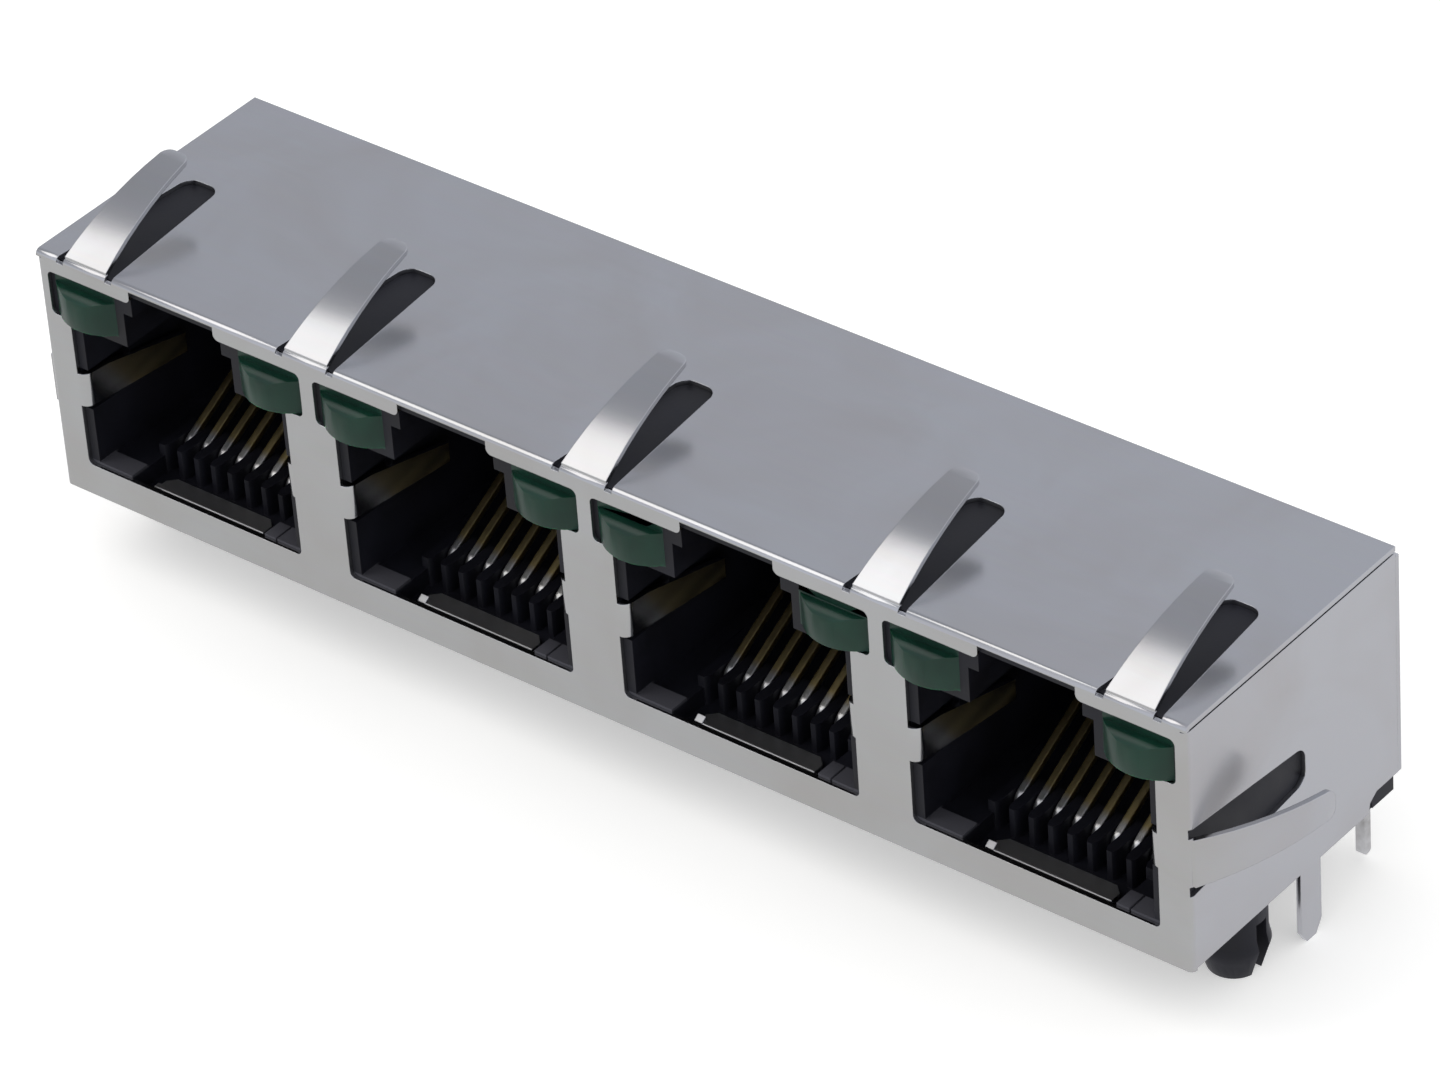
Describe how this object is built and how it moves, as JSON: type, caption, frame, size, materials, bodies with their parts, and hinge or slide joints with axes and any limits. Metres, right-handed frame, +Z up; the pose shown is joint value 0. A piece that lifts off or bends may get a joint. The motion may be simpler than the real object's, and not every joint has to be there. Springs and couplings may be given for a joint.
{
  "type": "rj45 board jack",
  "caption": "Shielded board jack with side-by-side modular plug ports, ground fingers, indicator lights and snap pegs for a circuit board.",
  "frame": {"origin": "middle of the front face's foot line, at the board's top face", "axes": "+X along the front from port 1 to port 4, +Y from the front face back into the jack, +Z up from the board"},
  "size_m": [0.0682, 0.0157, 0.019],
  "materials": {
    "housing_plastic": "black moulded thermoplastic, satin",
    "carrier_plastic": "black moulded thermoplastic, matt",
    "shield_plate": "bright tinned sheet, rolled",
    "contact_strip": "gold-plated formed strip",
    "led_resin": "dark green tinted resin, polished",
    "lead_wire": "tinned square leads"
  },
  "bodies": {
    "root": {"housing": "housing_plastic", "front_shield": "shield_plate", "rear_shield": "shield_plate", "carrier_1": "carrier_plastic", "carrier_2": "carrier_plastic", "carrier_3": "carrier_plastic", "carrier_4": "carrier_plastic", "contact_1_1": "contact_strip", "contact_1_2": "contact_strip", "contact_1_3": "contact_strip", "contact_1_4": "contact_strip", "contact_1_5": "contact_strip", "contact_1_6": "contact_strip", "contact_1_7": "contact_strip", "contact_1_8": "contact_strip", "contact_2_1": "contact_strip", "contact_2_2": "contact_strip", "contact_2_3": "contact_strip", "contact_2_4": "contact_strip", "contact_2_5": "contact_strip", "contact_2_6": "contact_strip", "contact_2_7": "contact_strip", "contact_2_8": "contact_strip", "contact_3_1": "contact_strip", "contact_3_2": "contact_strip", "contact_3_3": "contact_strip", "contact_3_4": "contact_strip", "contact_3_5": "contact_strip", "contact_3_6": "contact_strip", "contact_3_7": "contact_strip", "contact_3_8": "contact_strip", "contact_4_1": "contact_strip", "contact_4_2": "contact_strip", "contact_4_3": "contact_strip", "contact_4_4": "contact_strip", "contact_4_5": "contact_strip", "contact_4_6": "contact_strip", "contact_4_7": "contact_strip", "contact_4_8": "contact_strip", "led_1_left": "led_resin", "led_1_right": "led_resin", "led_2_left": "led_resin", "led_2_right": "led_resin", "led_3_left": "led_resin", "led_3_right": "led_resin", "led_4_left": "led_resin", "led_4_right": "led_resin", "leads_1_left": "lead_wire", "leads_1_right": "lead_wire", "leads_2_left": "lead_wire", "leads_2_right": "lead_wire", "leads_3_left": "lead_wire", "leads_3_right": "lead_wire", "leads_4_left": "lead_wire", "leads_4_right": "lead_wire"}
  },
  "joints": []
}
